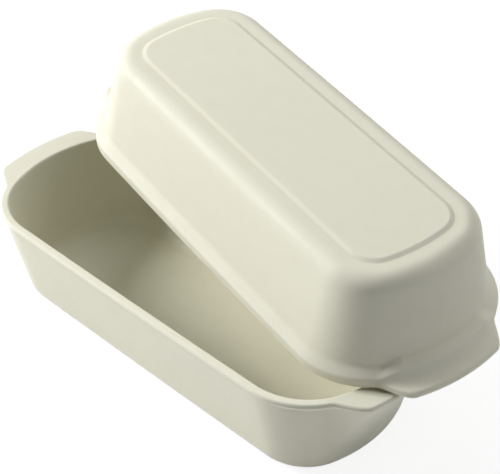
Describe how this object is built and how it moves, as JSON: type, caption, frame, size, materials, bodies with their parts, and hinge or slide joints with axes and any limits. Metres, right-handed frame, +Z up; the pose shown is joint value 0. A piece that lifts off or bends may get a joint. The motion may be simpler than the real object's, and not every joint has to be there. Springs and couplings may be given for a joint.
{
  "type": "covered loaf pan",
  "caption": "Deep glazed ceramic loaf pan with bowed ends and grip tabs, and a tall loose lid of the same outline lying askew on it; bakes a loaf covered or open.",
  "frame": {"origin": "middle of the pan's foot, on the surface that it stands on", "axes": "+X along the pan's length towards the tab that carries the lid, +Z up"},
  "size_m": [0.4118, 0.2375, 0.1933],
  "materials": {
    "cream_glaze": "satin cream glaze"
  },
  "bodies": {
    "pan": {"pan": "cream_glaze"},
    "lid": {"lid": "cream_glaze"}
  },
  "joints": [
    {"name": "lid_lift", "type": "slide", "parent": "pan", "child": "lid", "axis": [0, 0, 1], "range_m": [0, 0.2]}
  ]
}
